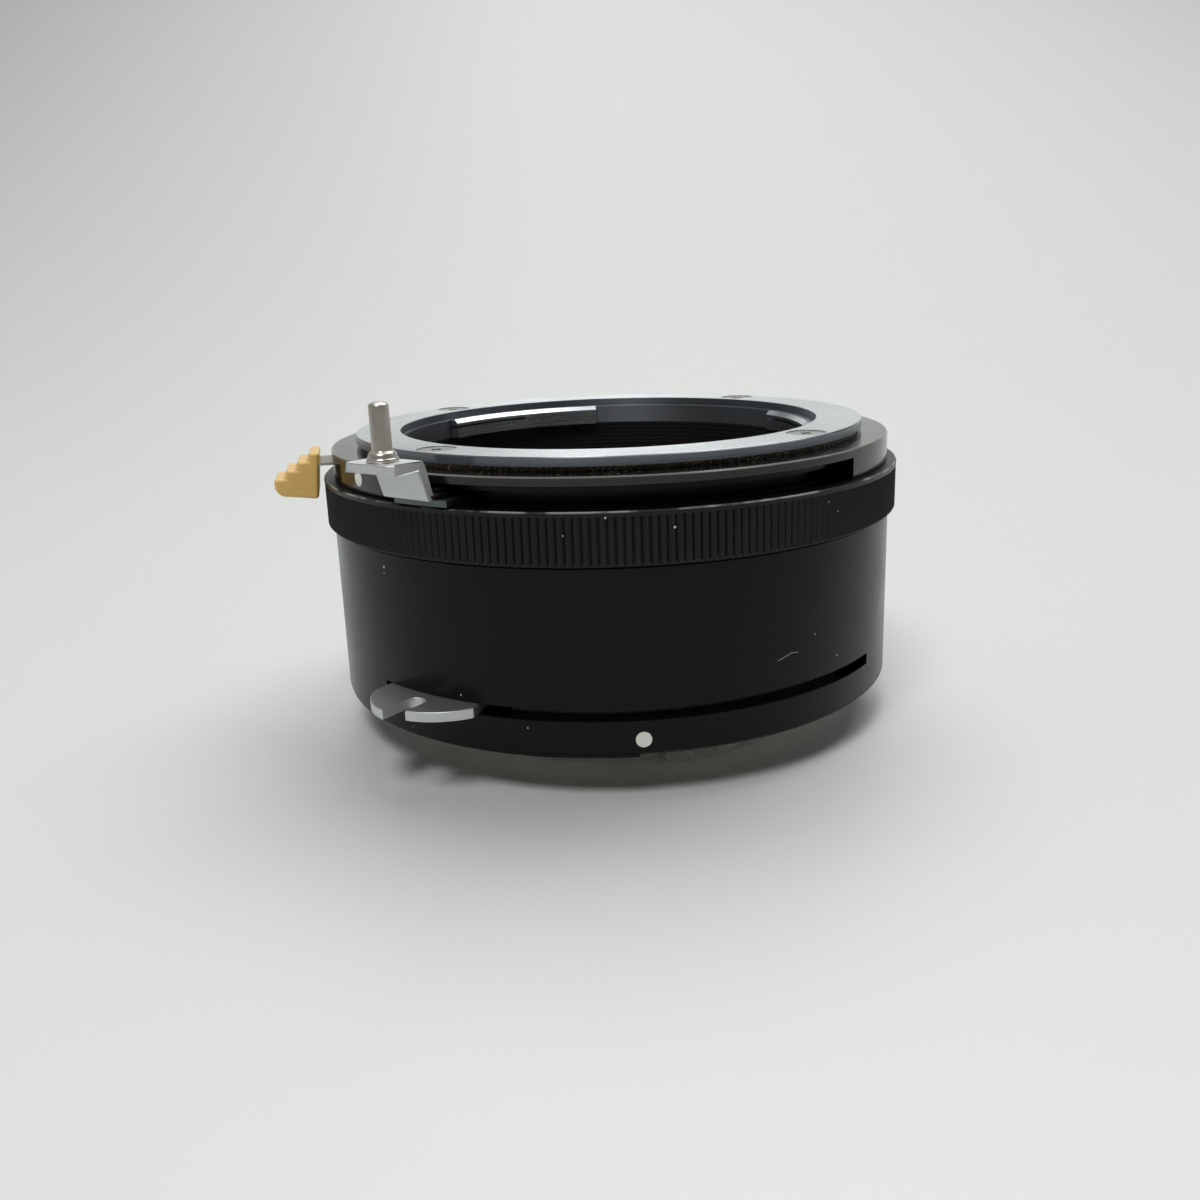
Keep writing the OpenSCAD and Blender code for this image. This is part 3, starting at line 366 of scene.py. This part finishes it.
dress(spring_steel, "release_leaf", "aperture_spring", "lock_spring")
dress(sleeve_metal, "coupling_sleeve")

# %% [markdown]
# ## Flat black lining
# The tube round the light path is blackened and dull, so that it throws no stray light. Fine
# grooves of 0.5 mm, cut like a thread, break up what is left.

# %% Lining
def flat_black(groove_mm=0.5):
    material, tree, shader = new_material("flat_black_lining")
    place = add(tree, "TexCoord").outputs["Object"]
    height = add(tree, "SeparateXYZ", {"Vector": place}).outputs["Z"]
    turn = 2 * math.pi / (groove_mm * MM)
    phase = add(tree, "Math", {0: height, 1: turn}, operation="MULTIPLY").outputs[0]
    wave = add(tree, "Math", {0: phase}, operation="SINE").outputs[0]
    bump = add(tree, "Bump", {"Height": wave, "Strength": 0.4, "Distance": 4 * GRAIN}).outputs[0]
    plug(tree, shader, {"Normal": bump, "Base Color": linear("#060606"), "Roughness": 0.75,
                        "Specular IOR Level": 0.25})
    return material


dress(flat_black(), "baffle_tube", "aperture_retainer")

# %% [markdown]
# ## White enamel dots
# Both index marks are drops of white enamel in shallow round recesses. Enamel dries smooth, so
# they have an even shine.

# %% Dots
def white_enamel():
    material, tree, shader = new_material("white_enamel")
    place = add(tree, "TexCoord").outputs["Object"]
    cloud = add(tree, "TexNoise", {"Vector": place, "Scale": 1200.0, "Detail": 2.0}).outputs["Fac"]
    dim, clear = linear("#f0ede4"), linear("#fdfbf6")
    tone = add(tree, "Mix", {0: cloud, 6: dim, 7: clear}, data_type="RGBA").outputs[2]
    plug(tree, shader, {"Base Color": tone, "Roughness": 0.3})
    return material


dress(white_enamel(), "front_index_dot", "rear_index_dot")

# %% [markdown]
# ## Cream plastic
# The thumb piece is moulded ABS in a warm cream. It has a soft shine, and a little light gets
# into it, so its shadows are warm.

# %% Cream plastic
def cream_plastic():
    material, tree, shader = new_material("cream_abs")
    place = add(tree, "TexCoord").outputs["Object"]
    cloud = add(tree, "TexNoise", {"Vector": place, "Scale": 350.0, "Detail": 3.0}).outputs["Fac"]
    skin = add(tree, "TexNoise", {"Vector": place, "Scale": 5000.0, "Detail": 2.0}).outputs["Fac"]
    deep, light = linear("#e4b55a"), linear("#f3cd7e")
    tone = add(tree, "Mix", {0: cloud, 6: deep, 7: light}, data_type="RGBA").outputs[2]
    bump = add(tree, "Bump", {"Height": skin, "Strength": 0.08, "Distance": GRAIN}).outputs[0]
    plug(tree, shader, {"Base Color": tone, "Normal": bump, "Roughness": 0.28, "IOR": 1.53,
                        "Subsurface Weight": 0.15, "Subsurface Radius": (0.0006, 0.0004, 0.0002),
                        "Subsurface Scale": 1.0})
    return material


cream = cream_plastic()
dress(cream, "release_knob")

# %% [markdown]
# ## Mesh helpers
# Most pieces made here start as a flat outline in millimetres. It is pushed out to a closed
# solid, turned to its angle round the axis and put on the body that it moves with. A bevel
# modifier then rounds all edges sharper than a set angle. Turned and wound pieces are made of
# rings of points, which join_rings() covers with faces.

# %% Helpers for meshes
def mesh_object(name, bm, material, body):
    data = bpy.data.meshes.new(name)
    bmesh.ops.recalc_face_normals(bm, faces=bm.faces)
    bm.to_mesh(data)
    bm.free()
    made = bpy.data.objects.new(name, data)
    bpy.context.collection.objects.link(made)
    data.materials.append(material)
    for face in data.polygons:
        face.use_smooth = True
    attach(made, body)
    return made


def round_edges(part, width_mm, segments=4, above_deg=25):
    bevel = part.modifiers.new("rounded_edges", "BEVEL")
    bevel.width, bevel.segments = width_mm * MM, segments
    bevel.limit_method, bevel.angle_limit = "ANGLE", math.radians(above_deg)
    bevel.harden_normals = True
    return part


def at_azimuth(bm, azimuth_deg):
    turn = Matrix.Rotation(math.radians(azimuth_deg), 3, "Z")
    bmesh.ops.rotate(bm, verts=bm.verts, cent=(0, 0, 0), matrix=turn)


def push_out(bm, points_mm, shift_mm):
    near = [bm.verts.new(Vector(p) * MM) for p in points_mm]
    far = [bm.verts.new((Vector(p) + Vector(shift_mm)) * MM) for p in points_mm]
    bm.faces.new(near)
    bm.faces.new(far[::-1])
    for k in range(len(near)):
        n = (k + 1) % len(near)
        bm.faces.new((near[n], near[k], far[k], far[n]))


def join_rings(bm, rings):
    sides = len(rings[0])
    for near, far in zip(rings, rings[1:]):
        for k in range(sides):
            n = (k + 1) % sides
            bm.faces.new((near[k], near[n], far[n], far[k]))
    bm.faces.new(rings[0][::-1])
    bm.faces.new(rings[-1])


def arc(middle, reach, start_deg, end_deg, steps):
    angles = [math.radians(start_deg + (end_deg - start_deg) * k / steps) for k in range(steps + 1)]
    return [(middle[0] + reach * math.cos(a), middle[1] + reach * math.sin(a)) for a in angles]


# %% [markdown]
# ## Thumb piece
# The CAD solid's steps are rounded along their length only. The moulded piece is round on every
# edge and its inner face slopes, so it is made again from its stepped outline.

# %% Thumb piece
def thumb_piece():
    width, top, reach, step, azimuth = 6.0, 31.6, 32.37, 0.87, 192
    risers = [33.55, 34.86, 36.12, 37.38]
    outline = [(32.86, 26.55), (36.5, 27.02), (37.1, 27.35), (37.38, 27.95)]
    for k in (3, 2, 1, 0):
        level = top - k * step
        outline += [(risers[k], level), (risers[k - 1] if k else reach, level)]
    bm = bmesh.new()
    push_out(bm, [(x, -width / 2, z) for x, z in outline], (0, width, 0))
    at_azimuth(bm, azimuth)
    made = mesh_object("thumb_piece", bm, cream, "lens_release")
    return round_edges(made, width_mm=0.4, segments=5, above_deg=28)


thumb = thumb_piece()
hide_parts("release_knob")
print("thumb piece:", len(thumb.data.vertices), "points before rounding")

# %% [markdown]
# ## Meter arm
# The arm was stamped from 0.9 mm plate and bent down, so the back corner has the bend's
# radius and the web leans to one side. A foot under it lies on the sleeve's tab, dark with old
# oil. Tumbling took the sharpness off the edges.
#
# Its points are given one by one, because the web leans. Each is given by u, its distance from the
# ring's axis, v, its place across the arm, and z, its height.

# %% Meter arm
ARM_AZIMUTH = 232.6


def meter_arm():
    back, face, nose, half, lean, corner, bend_r = 32.05, 32.95, 36.2, 3.05, 1.15, 0.6, 0.4
    top, under, low = 33.0, 32.1, 29.36
    bend = [(back + bend_r - bend_r * math.sin(a), top - bend_r + bend_r * math.cos(a))
            for a in (math.radians(d) for d in range(0, 91, 18))]
    side = bend + [(back, low), (face, low), (face, under)]
    bm = bmesh.new()
    near, far = [], []
    for sign, row in ((-1, near), (1, far)):
        for u, z in side:
            shift = lean * max(0.0, under - z) / (under - low)
            row.append(bm.verts.new((u * MM, (sign * half + shift) * MM, z * MM)))
    tips = [(nose, -half), (nose, half - corner), (nose - corner, half)]
    upper = [bm.verts.new((u * MM, v * MM, top * MM)) for u, v in tips]
    lower = [bm.verts.new((u * MM, v * MM, under * MM)) for u, v in tips]
    last = len(side) - 1
    for k in range(last):
        bm.faces.new((near[k], near[k + 1], far[k + 1], far[k]))
    bm.faces.new((near[0], far[0], upper[2], upper[1], upper[0]))
    bm.faces.new((near[last], lower[0], lower[1], lower[2], far[last]))
    bm.faces.new(near[::-1] + [lower[0], upper[0]])
    bm.faces.new(far + [lower[2], upper[2]])
    bm.faces.new((upper[0], upper[1], lower[1], lower[0]))
    bm.faces.new((upper[1], upper[2], lower[2], lower[1]))
    arm_foot(bm, lean, half, low)
    at_azimuth(bm, ARM_AZIMUTH)
    made = mesh_object("meter_arm_bent", bm, arm_plate, "meter_coupling")
    made.data.materials.append(oiled_steel)
    return round_edges(made, width_mm=0.13, segments=3)


def arm_foot(bm, middle, half, low):
    inner, outer, thick, side = 29.5, 32.5, 0.48, half - 0.02
    before = len(bm.faces)
    left, right = middle - side, middle + side
    corners = [(inner, left), (outer, left), (outer, right), (inner, right)]
    push_out(bm, [(u, v, low) for u, v in corners], (0, 0, thick))
    bm.faces.ensure_lookup_table()
    for added in bm.faces[before:]:
        added.material_index = 1


arm = meter_arm()
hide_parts("meter_arm")
print("arm:", len(arm.data.polygons), "faces before rounding")

# %% [markdown]
# ## Coupling prong
# The prong is a flat stamping. Its long side and its ear are arcs with different middles, both
# cut straight beside the barrel, and the slot between them takes the meter pin. A strip bent
# up at its root is screwed to the sleeve inside the barrel.

# %% Prong
def coupling_prong():
    low, thick, root, strip_height = 8.38, 1.04, 28.05, 3.95
    ear, slot, long_side = (30.6, 0.0), (33.56, 0.0), (28.8, -0.3)
    outline = [(root, -5.95)] + arc(ear, 6.45, -67.3, -9.1, 26) + arc(slot, 1.01, 270, 90, 12)
    outline += arc(long_side, 7.3, 10.3, 64.2, 28) + [(root, 5.1)]
    bm = bmesh.new()
    push_out(bm, [(u, v, low) for u, v in outline], (0, 0, thick))
    inner, outer, half_deg = 27.55, 28.24, 8
    strip = arc((0, 0), outer, -half_deg, half_deg, 10) + arc((0, 0), inner, half_deg, -half_deg, 10)
    push_out(bm, [(u, v, low) for u, v in strip], (0, 0, strip_height))
    at_azimuth(bm, 234.0)
    made = mesh_object("coupling_prong_stamped", bm, arm_plate, "meter_coupling")
    return round_edges(made, width_mm=0.11, segments=3, above_deg=32)


prong = coupling_prong()
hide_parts("coupling_prong")
print("prong:", len(prong.data.polygons), "faces before rounding")

# %% [markdown]
# ## Meter pin
# The pin was turned in one piece with its collar and riveted into the arm. The collar flares
# like a bell and the top is a low dome, so the outline is a smooth curve, turned about the
# pin's axis.

# %% Meter pin
def circle(bm, reach_mm, height_mm, sides):
    angles = (2 * math.pi * k / sides for k in range(sides))
    return [bm.verts.new(Vector((reach_mm * math.cos(a), reach_mm * math.sin(a), height_mm)) * MM)
            for a in angles]


def pin_outline():
    rim = [(1.4, 0.0), (1.47, 0.04), (1.5, 0.12), (1.5, 0.26), (1.47, 0.34), (1.4, 0.39)]
    bell = [(0.95 + 0.42 * math.cos(a), 0.42 + 0.6 * math.sin(a))
            for a in (math.radians(d) for d in range(0, 89, 8))]
    dome = [(0.2 + 0.75 * math.cos(a), 5.1 + 0.38 * math.sin(a))
            for a in (math.radians(d) for d in range(0, 91, 9))]
    return rim + bell + [(0.95, 1.1)] + dome


def meter_pin(reach=34.3, arm_top=33.0, sides=96):
    bm = bmesh.new()
    join_rings(bm, [circle(bm, radius, height, sides) for radius, height in pin_outline()])
    turn = math.radians(ARM_AZIMUTH)
    place = Vector((reach * math.cos(turn), reach * math.sin(turn), arm_top)) * MM
    bmesh.ops.translate(bm, verts=bm.verts, vec=place)
    return mesh_object("meter_pin_turned", bm, pin_steel, "meter_coupling")


pin = meter_pin()
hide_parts("meter_pin")
print("pin:", len(pin.data.polygons), "faces")

# %% [markdown]
# ## Lock spring
# A small compression spring under the leaf pushes the lock pin up. When the thumb piece is
# pressed by 1.1 mm, the spring has to shorten, which a rigid solid can't do. So it is wound
# again as a helix of round wire, at its length at rest.

# %% Lock spring
def coil_spring(place_mm, low_mm, high_mm, coil_mm=0.95, wire_mm=0.13, turns=5):
    bm = bmesh.new()
    steps, sides, rings, up = 24 * turns, 8, [], Vector((0, 0, 1))
    for k in range(steps + 1):
        angle = 2 * math.pi * turns * k / steps
        out = Vector((math.cos(angle), math.sin(angle), 0))
        rise = low_mm + wire_mm + (high_mm - low_mm - 2 * wire_mm) * k / steps
        middle = Vector((place_mm[0], place_mm[1], rise)) + out * coil_mm
        around = (2 * math.pi * j / sides for j in range(sides))
        rings.append([bm.verts.new((middle + wire_mm * (math.cos(a) * out + math.sin(a) * up)) * MM)
                      for a in around])
    join_rings(bm, rings)
    return mesh_object("lock_coil", bm, spring_steel, "ring_body")


foot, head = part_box("lock_spring")
middle = [(a + b) / 2 / MM for a, b in zip(foot, head)]
low, high, travel = foot[2] / MM, head[2] / MM, 1.1
coil = coil_spring(middle, low, high)
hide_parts("lock_spring")
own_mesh(coil)
print("lock spring:", round(high - low, 2), "mm long at rest")

# %% [markdown]
# ## Dust
# A few pale specks and one short hair of lint lie on the black finish. Each speck is a squashed
# lump with an uneven outline, less than 0.2 mm across, and the hair is a thin bent prism. Their
# places are given by angle and height on the barrel or grip. Lint is matt and off white.

# %% Lint
def pale_lint():
    material, tree, shader = new_material("pale_lint")
    fibre = add(tree, "TexNoise", {"Scale": 4000.0, "Detail": 2.0}).outputs["Fac"]
    grey, white = linear("#a9a69f"), linear("#dad8d2")
    tone = add(tree, "Mix", {0: fibre, 6: grey, 7: white}, data_type="RGBA").outputs[2]
    plug(tree, shader, {"Base Color": tone, "Roughness": 0.9})
    return material


# %% Specks and hair
GRIP, BARREL = 32.2, 31.45
SPECKS = [(262.2, 26.46, GRIP), (269.1, 28.04, GRIP), (280.2, 26.90, GRIP), (310.3, 27.32, GRIP),
          (312.8, 26.23, GRIP), (254.2, 7.50, BARREL), (228.7, 5.34, BARREL), (241.3, 10.07, BARREL),
          (223.8, 21.69, BARREL), (223.7, 21.06, BARREL), (308.8, 14.17, BARREL), (315.4, 11.10, BARREL)]
HAIR = [(299.9, 12.43), (301.5, 12.67), (302.9, 12.92), (304.5, 12.83)]


def on_wall(azimuth_deg, height_mm, reach_mm):
    angle = math.radians(azimuth_deg)
    return Vector((reach_mm * math.cos(angle), reach_mm * math.sin(angle), height_mm)) * MM


def speck(bm, azimuth_deg, height_mm, reach_mm, k):
    radius_mm, uneven, flat = 0.07 + 0.02 * (k % 3), 0.25, 0.4
    verts = bmesh.ops.create_icosphere(bm, subdivisions=2, radius=radius_mm * MM)["verts"]
    for vert in verts:
        vert.co *= 1 + uneven * math.sin(9000 * vert.co.x + k) * math.cos(7000 * vert.co.z)
        vert.co.x *= flat
    turn = Matrix.Rotation(math.radians(azimuth_deg), 3, "Z")
    bmesh.ops.rotate(bm, verts=verts, cent=(0, 0, 0), matrix=turn)
    bmesh.ops.translate(bm, verts=verts, vec=on_wall(azimuth_deg, height_mm, reach_mm))


def hair_piece(bm, start, end):
    profile = ((-0.03, -0.01), (0.03, -0.01), (0.0, 0.04))
    near, far = ([bm.verts.new(on_wall(azimuth, height + rise, BARREL + out)) for rise, out in profile]
                 for azimuth, height in (start, end))
    bm.faces.new(near)
    bm.faces.new(far[::-1])
    for k in range(3):
        n = (k + 1) % 3
        bm.faces.new((near[n], near[k], far[k], far[n]))


dust = bmesh.new()
for k, (azimuth, height, reach) in enumerate(SPECKS):
    speck(dust, azimuth, height, reach, k)
for start, end in zip(HAIR, HAIR[1:]):
    hair_piece(dust, start, end)
specks = mesh_object("dust_specks", dust, pale_lint(), "ring_body")
print("dust:", len(specks.data.polygons), "faces")

# %% [markdown]
# ## Floor and backdrop
# The ring stands on a pale plastic sheet that sweeps up behind it. One curved sheet has no line
# at the back, and a slight gloss gives the soft dark reflection under the skirt.

# %% Sheet
def pale_sheet():
    material, tree, shader = new_material("pale_sheet")
    place = add(tree, "TexCoord").outputs["Object"]
    grain = add(tree, "TexNoise", {"Vector": place, "Scale": 900.0, "Detail": 3.0}).outputs["Fac"]
    bump = add(tree, "Bump", {"Height": grain, "Strength": 0.04, "Distance": 5 * GRAIN}).outputs[0]
    plug(tree, shader, {"Normal": bump, "Base Color": linear("#dcdedb"), "Roughness": 0.45})
    return material


# %% Sweep
def sweep():
    front, half, start, bend = -1.2, 1.8, 0.12, 1.2
    outline = [(front, 0.0)] + [(start + bend * math.sin(a), bend - bend * math.cos(a))
                                for a in (math.radians(d) for d in range(0, 79, 3))]
    bm = bmesh.new()
    left, right = ([bm.verts.new((x, y, z)) for y, z in outline] for x in (-half, half))
    for k in range(len(outline) - 1):
        bm.faces.new((left[k], right[k], right[k + 1], left[k + 1]))
    data = bpy.data.meshes.new("sweep")
    bm.to_mesh(data)
    bm.free()
    made = bpy.data.objects.new("sweep", data)
    data.materials.append(pale_sheet())
    for face in data.polygons:
        face.use_smooth = True
    bpy.context.collection.objects.link(made)
    print("sweep:", len(data.polygons), "faces")


sweep()

# %% [markdown]
# ## Lamps
# The prong's shadow shows where the main light was: above the camera, 58 degrees up, and about
# 20 degrees wide. A second, very wide light overhead fills the shadows softly.

# %% Lamps
def soft_box(name, place, aim, size, watts):
    data = bpy.data.lights.new(name, "AREA")
    data.shape, data.size, data.size_y, data.energy = "RECTANGLE", size[0], size[1], watts
    made = bpy.data.objects.new(name, data)
    made.location = place
    made.rotation_euler = (Vector(aim) - Vector(place)).to_track_quat("-Z", "Y").to_euler()
    bpy.context.collection.objects.link(made)
    print(name, watts, "W")


soft_box("main_box", place=(-0.14, -0.42, 0.68), aim=(0, -0.02, 0.01), size=(0.24, 0.24), watts=2.7)
soft_box("overhead_box", place=(0.18, 0.45, 0.9), aim=(0.05, 0.22, 0), size=(1.1, 0.8), watts=7.9)

# %% [markdown]
# ## Room
# The room behind the camera is dim, so the world gives more light from the back than from the
# front. The camera itself sees a pale room all round, and the metal reflects a part of it.

# %% Room
def room(reflected=0.2):
    world = bpy.data.worlds.new("room")
    scene.world = world
    world.use_nodes = True
    tree = world.node_tree
    way = add(tree, "TexCoord").outputs["Generated"]
    depth = add(tree, "SeparateXYZ", {"Vector": way}).outputs["Y"]
    share, dim, pale = region(tree, (depth, -0.5, 0.4)), linear("#151617"), linear("#9fa1a0")
    lit = add(tree, "Mix", {0: share, 6: dim, 7: pale}, data_type="RGBA").outputs[2]
    ray = add(tree, "LightPath").outputs
    mirrored = add(tree, "Math", {0: ray["Is Glossy Ray"], 1: reflected},
                   operation="MULTIPLY").outputs[0]
    seen = add(tree, "Math", {0: ray["Is Camera Ray"], 1: mirrored}, operation="MAXIMUM").outputs[0]
    tone = add(tree, "Mix", {0: seen, 6: lit, 7: linear("#cfd2d0")}, data_type="RGBA").outputs[2]
    plug(tree, tree.nodes["Background"], {"Color": tone, "Strength": 1.0})
    print("room: reflected share", reflected)


room()
